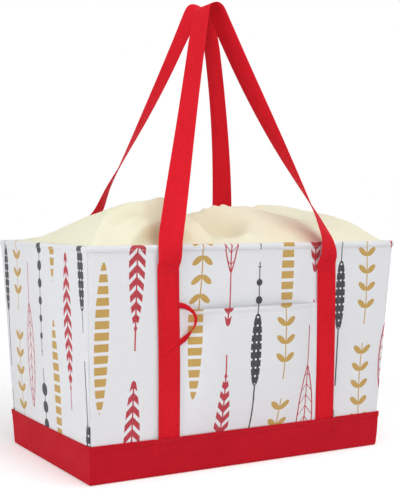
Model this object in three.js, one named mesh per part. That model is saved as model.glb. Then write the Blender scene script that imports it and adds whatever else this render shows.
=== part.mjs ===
// Insulated shopping bag with two carrying handles, a patch pocket and a gathered cloth cover.
// X runs along the front, Y from front to back and Z up. The origin is under the middle of the base.
import * as THREE from "three";

// Driving dimensions of the body, in millimetres.
const HEIGHT = 290; // floor to the top of the rim
const TOP_WIDTH = 465; // across the printed panels at the rim
const TOP_DEPTH = 310; // from front panel to back panel at the rim
const BASE_WIDTH = 438; // across the printed panels at the floor
const BASE_DEPTH = 264; // from front panel to back panel at the floor
const GAP = 0.3; // between layers that lie against each other
const PANEL_CLOTH = 1; // thickness of the printed cloth
const FOAM = 3; // thickness of the insulating sheets
const FOIL = 0.6; // thickness of the lining
const BASE_CLOTH = 1; // thickness of the cloth under the floor
const BAND_CLOTH = 1; // thickness of the red band
const BAND_TOP = 48.5; // floor to the upper edge of the red band
const HEM_CLOTH = 0.8; // thickness of the folded rim strip
const HEM_DROP = 7; // how far the rim strip reaches down the wall
const BOARD = 2.5; // thickness of the loose floor board
const BOARD_CLEARANCE = 2; // between the board's edge and the lining

// Straps, handles and the ribbon loop.
const WEBBING_WIDTH = 30;
const WEBBING = 1.5; // thickness of the webbing
const STRAP_SPACING = 240; // between the middles of two sewn legs
const STRAP_LEAN = 10; // how far the front legs lean to the left on their way up
const SEWN_DROP = 28; // from the rim down to the last seam across a leg
const HANDLE_RISE = 329; // from the rim up to the top of a handle
const HANDLE_BEND = 13; // radius of the bend over the hand
const FRONT_LEAN_X = 13; // how far the hand holds the front handle off the middle
const BACK_LEAN_X = 19; // how far the hand holds the back handle off the middle
const HANDLE_DROOP = 8; // how far a slack leg hangs to one side
const BACK_SAG = 38; // how far the back legs lie in over the cover
const SAG_SHARE = 0.1; // share of a leg by which the sag is reached
const HANDLE_SPLIT = 1.5; // between the two handles where they lie side by side
const HANDLE_YAW = 0.2; // turn of the held webbing about the upright, in radians
const TWIST_EASE = 3; // how early along a leg the webbing turns on edge
const RIBBON_WIDTH = 7;
const RIBBON = 0.8; // thickness of the ribbon loop
const RIBBON_REACH = 17.5; // how far the ribbon loop stands out from the strap
const RIBBON_SPAN = 44; // between the two ends of the ribbon loop
const RIBBON_RISE = 6; // from the pocket's upper edge to the loop's upper end
const RIBBON_TURN = 1.35; // how far the ribbon turns on edge, in radians

// Patch pocket.
const POCKET_CLOTH = 0.8;
const POCKET_DROP = 81; // from the rim down to the pocket's upper edge
const POCKET_TUCK = 10; // how far the pocket's sides reach in under the straps
const POCKET_SLACK = 8; // how far the pocket stands off the front panel

// Gathered cover.
const COVER_CLOTH = 1.2;
const COVER_SET = 0.84; // from the rim strip's inner face to the middle of the cover cloth
const MOUTH_LENGTH = 96; // the gathered mouth along X
const MOUTH_DEPTH = 72; // the gathered mouth along Y
const MOUTH_RISE = 22; // from the rim up to the root of the mouth's frill
const FRILL = 13; // height of the frill round the mouth
const COVER_SEAM = 16; // cut away at a cover panel's two ends on the rim, so that it can fold
const MOUTH_SEAM = 0.16; // between neighbouring cover panels at the mouth, in radians

// Crests of the closed cover's panels, at even steps from the left end of each to its right end:
// the share of the way in from the rim to the mouth, and the rise above the rim.
const COVER_CRESTS = {
  front: [[0.4, 54], [0.4, 53], [0.66, 42], [0.78, 49], [0.5, 46], [0.7, 34], [0.62, 28]],
  right: [[0.62, 28], [0.24, 34], [0.3, 40], [0.45, 50], [0.42, 44], [0.48, 40], [0.6, 40]],
  back: [[0.6, 40], [0.66, 36], [0.66, 31], [0.62, 31], [0.62, 28]],
  left: [[0.62, 28], [0.48, 26], [0.42, 35], [0.4, 43], [0.4, 54]],
};

// Derived levels and offsets. An offset is positive into the bag from the printed panels' outer face.
const WALL_FOOT = BASE_CLOTH + GAP;
const WALL_TOP = HEIGHT - HEM_CLOTH - GAP;
const FOAM_OFFSET = PANEL_CLOTH + GAP;
const FOIL_OFFSET = FOAM_OFFSET + FOAM + GAP;
const LINING_FACE = FOIL_OFFSET + FOIL;
const FOIL_FLOOR = WALL_FOOT + FOAM + GAP;
const BOARD_FLOOR = FOIL_FLOOR + FOIL + GAP;
const BAND_OFFSET = -GAP - BAND_CLOTH;
const HEM_OUTSIDE = -GAP - HEM_CLOTH;
const HEM_INSIDE = LINING_FACE + GAP + HEM_CLOTH;
const SEWN_LINE = HEIGHT - SEWN_DROP;
const POCKET_TOP = HEIGHT - POCKET_DROP;
const STRAP_FOOT = BAND_TOP + GAP;
const FRONT_STRAP_FACE = -GAP - POCKET_CLOTH - GAP;
const BACK_STRAP_FACE = -GAP;
const COVER_HINGE = HEM_INSIDE + GAP + COVER_SET;
const COVER_LEVEL = HEIGHT - COVER_CLOTH;

// Colours and finishes.
const finish = (color, roughness, metalness = 0) =>
  new THREE.MeshStandardMaterial({ color, roughness, metalness });
const WHITE_CLOTH = finish(0xe4e6ea, 0.8);
const RED_CLOTH = finish(0xc4202c, 0.75);
const RED_WEBBING = finish(0xce2630, 0.8);
const CREAM_CLOTH = finish(0xf3eed6, 0.7);
const FOAM_SHEET = finish(0xf4f4f2, 0.9);
const FOIL_SHEET = finish(0xc9ccd0, 0.35, 0.6);
const BOARD_SHEET = finish(0x8d9094, 0.7);

const bag = new THREE.Group();
bag.name = "cooler_bag";

const mix = THREE.MathUtils.lerp;
const vector = (x, y, z) => new THREE.Vector3(x, y, z);

// Half of the body's width and depth at a height, to the outer face of the printed panels.
const halfWidth = (z) => mix(BASE_WIDTH, TOP_WIDTH, z / HEIGHT) / 2;
const halfDepth = (z) => mix(BASE_DEPTH, TOP_DEPTH, z / HEIGHT) / 2;

// The four walls, each a quarter turn on from the one before.
const SIDES = ["front", "right", "back", "left"].map((name, turn) => ({
  name,
  angle: (turn * Math.PI) / 2,
  half: turn % 2 ? halfDepth : halfWidth,
  reach: turn % 2 ? halfWidth : halfDepth,
}));
const UP = vector(0, 0, 1);
const [FRONT, , BACK] = SIDES;

// A point on a wall: along it from its middle, in from its outer face, and up.
function onWall(side, along, inward, z) {
  const point = vector(along, inward - side.reach(z), z);
  return point.applyAxisAngle(UP, side.angle);
}

// A closed body made from a box of cells, each corner moved to where place(u, v, w) puts it.
// u, v and w each run from 0 to 1, and w points out of the face that u and v span.
function bentBox(place, uCells = 1, vCells = 1) {
  const geometry = new THREE.BoxGeometry(1, 1, 1, uCells, vCells, 1);
  const position = geometry.getAttribute("position");
  for (let i = 0; i < position.count; i += 1) {
    const u = position.getX(i) + 0.5;
    const v = position.getY(i) + 0.5;
    const w = position.getZ(i) + 0.5;
    const point = place(u, v, w);
    position.setXYZ(i, point.x, point.y, point.z);
  }
  geometry.computeVertexNormals();
  return geometry;
}

function addNode(name, geometry, material) {
  const mesh = new THREE.Mesh(geometry, material);
  mesh.name = name;
  bag.add(mesh);
}

// A flat layer of one wall, mitred at the corners.
function wallLayer(side, outer, thickness, bottom, top) {
  return bentBox((u, v, w) => {
    const z = mix(bottom, top, v);
    const inward = outer + (1 - w) * thickness;
    const reach = side.half(z) - inward - GAP / 2;
    return onWall(side, mix(-reach, reach, u), inward, z);
  });
}

// A flat layer of the floor, whose edges follow the walls at the offset given.
function floorLayer(offset, bottom, thickness) {
  return bentBox((u, v, w) => {
    const z = bottom + w * thickness;
    const x = halfWidth(z) - offset;
    const y = halfDepth(z) - offset;
    return vector(mix(-x, x, u), mix(-y, y, v), z);
  });
}

// The strip folded over the rim of one wall: down outside, across the top and down inside.
function rimHem(side) {
  const low = HEIGHT - HEM_DROP;
  const outside = [
    [HEM_OUTSIDE, low],
    [HEM_OUTSIDE, HEIGHT],
    [HEM_INSIDE, HEIGHT],
    [HEM_INSIDE, low],
  ];
  const inside = [
    [HEM_OUTSIDE + HEM_CLOTH, low],
    [HEM_OUTSIDE + HEM_CLOTH, HEIGHT - HEM_CLOTH],
    [HEM_INSIDE - HEM_CLOTH, HEIGHT - HEM_CLOTH],
    [HEM_INSIDE - HEM_CLOTH, low],
  ];
  const folds = outside.length - 1;
  return bentBox(
    (u, v, w) => {
      const fold = Math.round(v * folds);
      const inward = mix(inside[fold][0], outside[fold][0], w);
      const z = mix(inside[fold][1], outside[fold][1], w);
      const reach = side.half(z) - inward - GAP / 2;
      return onWall(side, mix(-reach, reach, u), inward, z);
    },
    1,
    folds,
  );
}

// A band of webbing or ribbon through stations, each with a point and the direction of its width.
function ribbon(stations, width, thickness) {
  const last = stations.length - 1;
  const sections = stations.map(({ point, across }, i) => {
    const before = stations[Math.max(i - 1, 0)].point;
    const after = stations[Math.min(i + 1, last)].point;
    const tangent = after.clone().sub(before).normalize();
    const side = across.clone().addScaledVector(tangent, -across.dot(tangent));
    side.normalize();
    return { point, side, normal: side.clone().cross(tangent) };
  });
  return bentBox(
    (u, v, w) => {
      const { point, side, normal } = sections[Math.round(v * last)];
      const placed = point.clone().addScaledVector(side, (u - 0.5) * width);
      return placed.addScaledVector(normal, (w - 0.5) * thickness);
    },
    1,
    last,
  );
}

// How far the front legs stand off their even spacing at a height.
const frontShift = (z) => STRAP_LEAN * (1 / 2 - (z - STRAP_FOOT) / (SEWN_LINE - STRAP_FOOT));
const noShift = () => 0;

// One sewn leg of webbing on the front or back panel.
function sewnLeg(side, along, face, shift) {
  return bentBox((u, v, w) => {
    const z = mix(STRAP_FOOT, SEWN_LINE - GAP / 2, v);
    const inward = face - w * WEBBING;
    return onWall(side, along + shift(z) + (u - 0.5) * WEBBING_WIDTH, inward, z);
  });
}

// The free loop of a handle: up off the wall, past the rim, along a twisting leg and round the top.
// footX is where its feet stand off their even spacing, and droops are for the left and right leg.
function handle(side, face, { leanX, footX, sag, droops }) {
  const LEG_STEPS = 18;
  const BEND_STEPS = 10;
  const WALL_STEPS = 5;
  const OVER_RIM = 0.2; // share of the webbing's width by which a leg clears the rim before it leans in
  const foot = SEWN_LINE + GAP / 2;
  const onPanel = face - WEBBING / 2;
  const overHem = HEM_OUTSIDE - GAP - WEBBING / 2;
  const half = STRAP_SPACING / 2;
  const held = -Math.PI / 2 + HANDLE_YAW;
  const crest = { y: -(WEBBING_WIDTH + HANDLE_SPLIT) / 2, z: HEIGHT + HANDLE_RISE - WEBBING / 2 };
  const turnTo = (angle) => vector(Math.cos(angle), Math.sin(angle), 0);

  // How far the webbing has turned on edge at a height, from 0 at its foot to 1 at the top.
  const twist = (z) => 1 - (1 - (z - foot) / (crest.z - foot)) ** TWIST_EASE;

  // Beside the wall, the middle of the webbing stands off so that its inner edge clears the hem.
  const standOff = (z, turned) => {
    const rested = mix(onPanel, overHem, (z - foot) / (HEIGHT - foot));
    return rested - (WEBBING_WIDTH / 2) * Math.sin(turned);
  };
  const turnedAt = (hand, z) => twist(z) * (hand < 0 ? -held : Math.PI + held);
  const rimZ = HEIGHT + WEBBING_WIDTH * OVER_RIM;
  const rimY = (hand) => standOff(HEIGHT, turnedAt(hand, HEIGHT)) - side.reach(HEIGHT);
  const rise = (hand) => Math.hypot(crest.y - rimY(hand), crest.z - rimZ);
  const inPlane = (hand, x, up) => {
    const share = up / rise(hand);
    const lain = sag * THREE.MathUtils.smoothstep(share, 0, SAG_SHARE) * Math.max(0, 1 - share);
    return vector(x, mix(rimY(hand), crest.y, share) + lain, mix(rimZ, crest.z, share));
  };
  const tilt = (hand) => {
    const run = half - hand * (leanX - footX);
    const middle = rise(hand) - HANDLE_BEND;
    return Math.atan2(run, middle) - Math.asin(HANDLE_BEND / Math.hypot(run, middle));
  };
  const tilts = { [-1]: tilt(-1), [1]: tilt(1) };

  // One leg from its foot to where the bend begins, with the width turning from along X.
  const leg = (hand, from) => {
    const stations = [];
    const startX = hand * half + footX;
    const slack = hand < 0 ? droops.left : droops.right;
    for (let i = 0; i <= WALL_STEPS; i += 1) {
      const z = mix(foot, HEIGHT + WEBBING, i / WALL_STEPS);
      const level = Math.min(z, HEIGHT);
      const inward = standOff(level, turnedAt(hand, level));
      stations.push({
        point: vector(startX, inward - side.reach(level), z),
        across: turnTo(mix(from, held, twist(z))),
      });
    }
    const endX = leanX + hand * HANDLE_BEND * Math.cos(tilts[hand]);
    const endUp = rise(hand) - HANDLE_BEND + HANDLE_BEND * Math.sin(tilts[hand]);
    for (let i = 0; i <= LEG_STEPS; i += 1) {
      const share = i / LEG_STEPS;
      const droop = 4 * slack * share * (1 - share);
      const point = inPlane(hand, mix(startX, endX, share) - droop, endUp * share);
      stations.push({ point, across: turnTo(mix(from, held, twist(point.z))) });
    }
    return stations;
  };

  const stations = leg(-1, 0);
  for (let i = 1; i < BEND_STEPS; i += 1) {
    const share = i / BEND_STEPS;
    const angle = mix(tilts[-1], Math.PI - tilts[1], share);
    const x = leanX - HANDLE_BEND * Math.cos(angle);
    const hand = share < 1 / 2 ? -1 : 1;
    const up = rise(hand) - HANDLE_BEND + HANDLE_BEND * Math.sin(angle);
    stations.push({ point: inPlane(hand, x, up), across: turnTo(held) });
  }
  stations.push(...leg(1, -Math.PI).reverse());
  stations.forEach(({ point, across }) => {
    point.applyAxisAngle(UP, side.angle);
    across.applyAxisAngle(UP, side.angle);
  });
  return ribbon(stations, WEBBING_WIDTH, WEBBING);
}

// How far the pocket stands off the front panel, at a place along it and a share of its height.
function pocketSlack(along, share) {
  const FLATNESS = 4; // higher keeps the middle flatter and the sides steeper
  const FULLNESS = 6; // higher brings the slack on nearer to the pocket's lower edge
  const open = (STRAP_SPACING - WEBBING_WIDTH) / 2 - STRAP_LEAN;
  const across = Math.max(0, 1 - (along / open) ** FLATNESS);
  const upward = 1 - (1 - share) ** FULLNESS;
  return POCKET_SLACK * across * upward;
}

function pocket() {
  const U_CELLS = 23;
  const V_CELLS = 12;
  const reach = (STRAP_SPACING - WEBBING_WIDTH) / 2 + POCKET_TUCK;
  return bentBox(
    (u, v, w) => {
      const z = mix(STRAP_FOOT, POCKET_TOP, v);
      const along = mix(-reach, reach, u);
      const inward = -GAP - pocketSlack(along, v) - w * POCKET_CLOTH;
      return onWall(FRONT, along, inward, z);
    },
    U_CELLS,
    V_CELLS,
  );
}

// The ribbon loop beside the front left strap: flat at both ends and on edge where it turns.
function ribbonLoop() {
  const STEPS = 24;
  const FULLNESS = 0.8; // below 1 the loop is rounder than a half sine
  const SLANT = 1.35; // above 1 the loop leaves the strap level and comes back to it slanting
  const END_CLEAR = 3.4; // keeps the corner of the slanting end off the strap
  const edge = -(STRAP_SPACING - WEBBING_WIDTH) / 2 + RIBBON;
  const top = POCKET_TOP + RIBBON_RISE;
  const root = FRONT_STRAP_FACE - RIBBON;
  const stations = [];
  for (let i = 0; i <= STEPS; i += 1) {
    const share = i / STEPS;
    const out = Math.sin(Math.PI * share) ** FULLNESS;
    const z = top - RIBBON_SPAN * share ** SLANT;
    const along = edge + frontShift(z) + RIBBON_REACH * out + END_CLEAR * share;
    const upward = Math.min(1, (z + RIBBON_WIDTH / 2 - STRAP_FOOT) / (POCKET_TOP - STRAP_FOOT));
    const turn = Math.sin(Math.PI * share) * RIBBON_TURN;
    const clear = pocketSlack(along + GAP, upward) + (RIBBON_WIDTH / 2 + GAP) * Math.sin(turn);
    stations.push({
      point: onWall(FRONT, along, root - clear, z),
      across: vector(0, -Math.sin(turn), Math.cos(turn)),
    });
  }
  return ribbon(stations, RIBBON_WIDTH, RIBBON);
}

// Rise of the closed cover above the rim: up to the crest, then down to the root of the frill.
function coverRise(crest, share) {
  const ROUND = 1.3; // above 1 the slope up to the crest is rounded
  const climb = Math.min(1, share / crest.x);
  const fall = THREE.MathUtils.smoothstep(share, crest.x, 1);
  return mix(crest.y * (1 - (1 - climb) ** ROUND), MOUTH_RISE, fall);
}

// One panel of the cover, hung from the inside of the rim and drawn in to the mouth.
function coverPanel(side) {
  const U_CELLS = 12;
  const V_CELLS = 18;
  const FRILL_ROOT = 1 - 2 / V_CELLS; // where along the panel the frill begins
  const FRILL_LEAN = 0.03; // how far the frill leans out from the mouth
  const wide = side.half(HEIGHT) - COVER_HINGE - COVER_SEAM / 2;
  const deep = side.reach(HEIGHT) - COVER_HINGE;
  const turned = side === FRONT || side === BACK;
  const mouthAlong = (turned ? MOUTH_LENGTH : MOUTH_DEPTH) / 2;
  const mouthIn = (turned ? MOUTH_DEPTH : MOUTH_LENGTH) / 2;
  const quarter = Math.PI / 4 - MOUTH_SEAM / 2;
  const crests = COVER_CRESTS[side.name].map(([share, rise]) => new THREE.Vector2(share, rise));
  const crestLine = new THREE.SplineCurve(crests);
  const middle = (u, v) => {
    const inShare = Math.min(1, v / FRILL_ROOT);
    const upFrill = Math.max(0, (v - FRILL_ROOT) / (1 - FRILL_ROOT));
    const share = inShare - FRILL_LEAN * upFrill;
    const angle = mix(-quarter, quarter, u);
    const along = mix(mix(-wide, wide, u), mouthAlong * Math.sin(angle), share);
    const inward = mix(-deep, -mouthIn * Math.cos(angle), share);
    const rise = coverRise(crestLine.getPoint(u), inShare) + FRILL * upFrill;
    return vector(along, inward, COVER_LEVEL + rise);
  };
  const STEP = 0.01;
  return bentBox(
    (u, v, w) => {
      const before = middle(u, Math.max(0, v - STEP));
      const after = middle(u, Math.min(1, v + STEP));
      const uphill = after.sub(before).normalize();
      const normal = vector(1, 0, 0).cross(uphill).normalize();
      const point = middle(u, v).addScaledVector(normal, (w - 0.5) * COVER_CLOTH);
      return point.applyAxisAngle(UP, side.angle);
    },
    U_CELLS,
    V_CELLS,
  );
}

// Base, walls, hems and band.
addNode("base_cloth", floorLayer(BAND_OFFSET, 0, BASE_CLOTH), RED_CLOTH);
addNode("floor_foam", floorLayer(FOIL_OFFSET, WALL_FOOT, FOAM), FOAM_SHEET);
addNode("floor_lining", floorLayer(LINING_FACE + GAP, FOIL_FLOOR, FOIL), FOIL_SHEET);
addNode("base_board", floorLayer(LINING_FACE + BOARD_CLEARANCE, BOARD_FLOOR, BOARD), BOARD_SHEET);
SIDES.forEach((side) => {
  const { name } = side;
  addNode(`${name}_panel`, wallLayer(side, 0, PANEL_CLOTH, WALL_FOOT, WALL_TOP), WHITE_CLOTH);
  addNode(`${name}_foam`, wallLayer(side, FOAM_OFFSET, FOAM, WALL_FOOT, WALL_TOP), FOAM_SHEET);
  addNode(`${name}_lining`, wallLayer(side, FOIL_OFFSET, FOIL, FOIL_FLOOR, WALL_TOP), FOIL_SHEET);
  addNode(`${name}_band`, wallLayer(side, BAND_OFFSET, BAND_CLOTH, WALL_FOOT, BAND_TOP), RED_CLOTH);
  addNode(`${name}_hem`, rimHem(side), WHITE_CLOTH);
  addNode(`${name}_cover`, coverPanel(side), CREAM_CLOTH);
});

// Pocket, straps, handles and ribbon loop.
addNode("front_pocket", pocket(), WHITE_CLOTH);
const LEG = STRAP_SPACING / 2;
addNode("front_strap_left", sewnLeg(FRONT, -LEG, FRONT_STRAP_FACE, frontShift), RED_WEBBING);
addNode("front_strap_right", sewnLeg(FRONT, LEG, FRONT_STRAP_FACE, frontShift), RED_WEBBING);
addNode("back_strap_left", sewnLeg(BACK, LEG, BACK_STRAP_FACE, noShift), RED_WEBBING);
addNode("back_strap_right", sewnLeg(BACK, -LEG, BACK_STRAP_FACE, noShift), RED_WEBBING);
const frontLoop = handle(FRONT, FRONT_STRAP_FACE, {
  leanX: FRONT_LEAN_X,
  footX: frontShift(SEWN_LINE),
  sag: 0,
  droops: { left: 0, right: HANDLE_DROOP },
});
const backLoop = handle(BACK, BACK_STRAP_FACE, {
  leanX: -BACK_LEAN_X,
  footX: 0,
  sag: BACK_SAG,
  droops: { left: HANDLE_DROOP, right: HANDLE_DROOP },
});
addNode("front_handle", frontLoop, RED_WEBBING);
addNode("back_handle", backLoop, RED_WEBBING);
addNode("ribbon_loop", ribbonLoop(), RED_WEBBING);

export default bag;
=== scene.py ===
import math

import bpy
import numpy as np
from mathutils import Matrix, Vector


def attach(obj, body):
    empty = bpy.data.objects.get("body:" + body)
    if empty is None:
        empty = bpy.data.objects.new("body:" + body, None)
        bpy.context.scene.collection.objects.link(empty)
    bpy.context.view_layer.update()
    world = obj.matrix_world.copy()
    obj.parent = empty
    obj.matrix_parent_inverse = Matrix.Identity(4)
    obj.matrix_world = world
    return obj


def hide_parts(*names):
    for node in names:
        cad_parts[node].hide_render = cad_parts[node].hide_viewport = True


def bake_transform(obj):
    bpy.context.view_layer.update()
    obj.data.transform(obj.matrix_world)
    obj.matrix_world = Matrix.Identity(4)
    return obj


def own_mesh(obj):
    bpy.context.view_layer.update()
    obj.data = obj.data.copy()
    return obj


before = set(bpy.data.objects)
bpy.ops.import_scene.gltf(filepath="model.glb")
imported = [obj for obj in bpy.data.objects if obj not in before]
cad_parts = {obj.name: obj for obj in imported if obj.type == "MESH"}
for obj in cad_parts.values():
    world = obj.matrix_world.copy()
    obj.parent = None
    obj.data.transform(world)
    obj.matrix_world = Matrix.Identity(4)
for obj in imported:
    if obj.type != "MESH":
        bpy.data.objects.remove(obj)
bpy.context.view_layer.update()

# Sizes of the bag, in millimetres, as in the solids.
MM = 0.001
HEIGHT = 290.0
TOP_WIDTH, TOP_DEPTH = 465.0, 310.0
BASE_WIDTH, BASE_DEPTH = 438.0, 264.0
BAND_TOP = 48.5
POCKET_TOP = 209.0
SEWN_LINE = 262.0
STRAP_X = 120.0
STRAP_FOOT = 48.8
STRAP_LEAN = 10.0
WEBBING_WIDTH, WEBBING = 30.0, 1.5
COVER_LEVEL = 288.8
COVER_INSET = 7.44
# Quarter turns from the front to each side.
TURN = {"front": 0, "right": 1, "back": 2, "left": 3}
LONG_SIDES = ("front", "back")

# How the soft walls depart from flat: swelling in the middle, and rounded corners.
BOW = {"front": 3.2, "right": 2.6, "back": 3.4, "left": 2.4}
RIM_BOW = 0.8
CORNER_LOW, CORNER_HIGH = 7.0, 9.0
# How far the outer cloth fills its rounded corners out to a sharp edge, from 0 to 1.
CORNER_FILL = 0.8


def mix(a, b, t):
    return a + (b - a) * t


def smooth(low, high, value):
    t = np.clip((value - low) / (high - low), 0, 1)
    return t * t * (3 - 2 * t)


def bell(value, width):
    return np.exp(-((value / width) ** 2))


def ripple(s, z, seed, wave, terms=7):
    """A smooth field of about plus or minus one, the same at every run."""
    draw = np.random.default_rng(seed)
    total = 0.0
    for _ in range(terms):
        angle, phase = draw.uniform(0, 2 * math.pi, 2)
        length = wave * draw.uniform(0.7, 1.6)
        run = s * math.cos(angle) + z * math.sin(angle)
        total = total + np.sin(run * 2 * math.pi / length + phase)
    return total / math.sqrt(terms) / 1.3


def unit(vectors):
    return vectors / np.linalg.norm(vectors, axis=-1, keepdims=True)


def distances(points):
    """How far along a line each of its points lies."""
    return np.concatenate([[0], np.cumsum(np.linalg.norm(np.diff(points, axis=0), axis=1))])


def at_distance(where, run, values):
    """Rows of values that are given at the distances in run, taken at other distances."""
    return np.column_stack([np.interp(where, run, column) for column in values.T])


def together(*values):
    """Numbers or arrays, spread to one shape."""
    return np.broadcast_arrays(*(np.asarray(value, float) for value in values))


def flat_map(s, t):
    return np.stack(np.broadcast_arrays(s, t), axis=-1)


# Walls of the bag

def half_sizes(side, z):
    share = z / HEIGHT
    wide = mix(BASE_WIDTH, TOP_WIDTH, share) / 2
    deep = mix(BASE_DEPTH, TOP_DEPTH, share) / 2
    return (wide, deep) if side in LONG_SIDES else (deep, wide)


def corner_radius(z):
    return mix(CORNER_LOW, CORNER_HIGH, np.clip(z / HEIGHT, 0, 1))


def wall_reach(side, z):
    """Length along a wall from its middle to the middle of its corner."""
    half, _ = half_sizes(side, z)
    return half - corner_radius(z) * (1 - math.pi / 4)


def swell(side, s, z):
    half, _ = half_sizes(side, z)
    t = np.clip(s / (half - corner_radius(z)), -1, 1)
    rise = np.clip((z - 12) / (HEIGHT - 12), 0, 1)
    full = (BOW[side] * np.sin(math.pi * rise**0.85) + RIM_BOW * rise) * (1 - t * t)
    waves = 0.55 * ripple(s, z, 10 + TURN[side], 120) * (1 - t**8) * np.sin(math.pi * rise)
    return full + waves


def corner_angle(side, s, z):
    """How far a wall has turned round its corner."""
    half, _ = half_sizes(side, z)
    return np.maximum(np.abs(s) - half + corner_radius(z), 0) / corner_radius(z)


def wall_flat(side, s, z, out):
    """A point of a wall before it is turned to its side: s along it, z up, out from the printed face."""
    s, z, out = together(s, z, out)
    half, reach = half_sizes(side, z)
    radius = corner_radius(z)
    angle = corner_angle(side, s, z)
    spread = radius + out + swell(side, s, z)
    x = np.clip(s, radius - half, half - radius) + np.sign(s) * spread * np.sin(angle)
    y = radius - reach - spread * np.cos(angle)
    return np.stack([x, y, z], axis=-1)


def turned(side, points):
    """Points seen from the front, turned to another side."""
    c, s = (1, 0, -1, 0)[TURN[side]], (0, 1, 0, -1)[TURN[side]]
    x, y, z = np.moveaxis(points, -1, 0)
    return np.stack([c * x - s * y, s * x + c * y, z], axis=-1)


def wall(side, s, z, out):
    return turned(side, wall_flat(side, s, z, out))


def strap_shift(side, z):
    """How far the front straps lean off their even spacing at a height."""
    if side != "front":
        return 0.0 * z
    share = (np.minimum(z, SEWN_LINE) - STRAP_FOOT) / (SEWN_LINE - STRAP_FOOT)
    return STRAP_LEAN * (0.5 - share)


# Mesh makers

PLATE_MIDDLE = 0.06
OUTLINE_STEPS, OUTLINE_SPACING = 8, 14
STITCH_LENGTH, STITCH_GAP, STITCH_WIDTH, STITCH_HEIGHT = 2.5, 1.1, 0.55, 0.4
STITCH_LIFT, STITCH_SINK, STITCH_REACH, STITCH_SIDES = 0.1, 0.22, 0.3, 6
# Places along a stitch, from end to end, and its thickness there.
STITCH_ENDS = np.array([[-1.0], [-0.75], [0.0], [0.75], [1.0]])
STITCH_SWELL = np.array([[0.25], [0.85], [1.0], [0.85], [0.25]])


def add_object(name, data):
    made = bpy.data.objects.new(name, data)
    bpy.context.scene.collection.objects.link(made)
    return made


def make_piece(name, points, faces, material, body="bag", uv=None, sharp=35):
    """A smooth piece from points in millimetres. Edges that turn more than an angle stay sharp."""
    mesh = bpy.data.meshes.new(name)
    mesh.from_pydata((points.reshape(-1, 3) * MM).tolist(), [], faces)
    mesh.validate()
    if uv is not None:
        layer = mesh.uv_layers.new(name="cloth")
        corner = np.zeros(len(mesh.loops), np.int32)
        mesh.loops.foreach_get("vertex_index", corner)
        flat = (uv.reshape(-1, 2) * MM)[corner]
        layer.data.foreach_set("uv", flat.astype(np.float32).ravel())
    mesh.shade_smooth()
    mesh.set_sharp_from_angle(angle=math.radians(sharp))
    mesh.materials.append(material)
    piece = add_object(name, mesh)
    if body:
        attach(piece, body)
    return piece


def stand_for(piece, slot, *nodes):
    """Hides the solids that a piece stands in for; the piece and the slot of its material are not used."""
    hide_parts(*nodes)


def grid_faces(us, vs, start=0, flip=False):
    """Quads of a grid of us by vs points, in which v runs first."""
    faces = []
    for a in range(start, start + (us - 1) * vs, vs):
        for v in range(vs - 1):
            quad = (a + v, a + vs + v, a + vs + v + 1, a + v + 1)
            faces.append(quad[::-1] if flip else quad)
    return faces


def tube_faces(rings, around, start=0):
    """Quads between rings of points, and a cap at both ends."""
    end = start + (rings - 1) * around
    faces = [tuple(range(start, start + around)), tuple(range(end, end + around))[::-1]]
    for a in range(start, end, around):
        for j in range(around):
            k = (j + 1) % around
            faces.append((a + j, a + around + j, a + around + k, a + k))
    return faces


def slab(name, place, us, vs, material, uv, **rest):
    """A closed thin body from place(u, v, w): w is 0 on its inner face and 1 on its outer face."""
    u, v = np.meshgrid(np.linspace(0, 1, us), np.linspace(0, 1, vs), indexing="ij")
    count = us * vs
    faces = grid_faces(us, vs) + grid_faces(us, vs, count, flip=True)
    low = list(range(0, count, vs))
    high = list(range(vs - 1, count, vs))
    first = list(range(vs))
    last = list(range(count - vs, count))
    for edge in (low, high[::-1], first[::-1], last):
        for a, b in zip(edge, edge[1:]):
            faces.append((b, a, a + count, b + count))
    points = np.concatenate([place(u, v, 1.0), place(u, v, 0.0)])
    flat = flat_map(*uv(u, v))
    return make_piece(name, points, faces, material, uv=np.concatenate([flat, flat]), **rest)


def sweep(name, rings, material, uv, **rest):
    """A closed body through rings of points, shape (stations, points round, 3), capped at both ends."""
    return make_piece(name, rings, tube_faces(*rings.shape[:2]), material, uv=uv, **rest)


def rounded_outline(wide, deep, radius):
    """Points of a rounded rectangle from its half sizes, running anticlockwise."""
    points = []
    for i, (sx, sy) in enumerate([(1, -1), (1, 1), (-1, 1), (-1, -1)]):
        centre = np.array([sx * (wide - radius), sy * (deep - radius)])
        for k in range(OUTLINE_STEPS + 1):
            angle = math.pi / 2 * (i - 1 + k / OUTLINE_STEPS)
            points.append(centre + radius * np.array([math.cos(angle), math.sin(angle)]))
    dense = []
    for a, b in zip(points, points[1:] + points[:1]):
        cuts = max(1, int(np.linalg.norm(b - a) // OUTLINE_SPACING))
        dense.extend(mix(a, b, k / cuts) for k in range(cuts))
    return np.array(dense)


def plate(name, half_size, levels, material, rings=8, **rest):
    """A flat closed plate from its half sizes with a corner radius, and its lower and upper level."""
    outline = rounded_outline(*half_size)
    shares = np.linspace(1, PLATE_MIDDLE, rings)
    flat = np.concatenate([shares[::-1], shares])[:, None, None] * outline
    level = np.repeat(levels[::-1], rings)[:, None, None]
    level = np.broadcast_to(level, flat.shape[:2] + (1,))
    return sweep(name, np.concatenate([flat, level], axis=2), material, flat, **rest)


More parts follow.
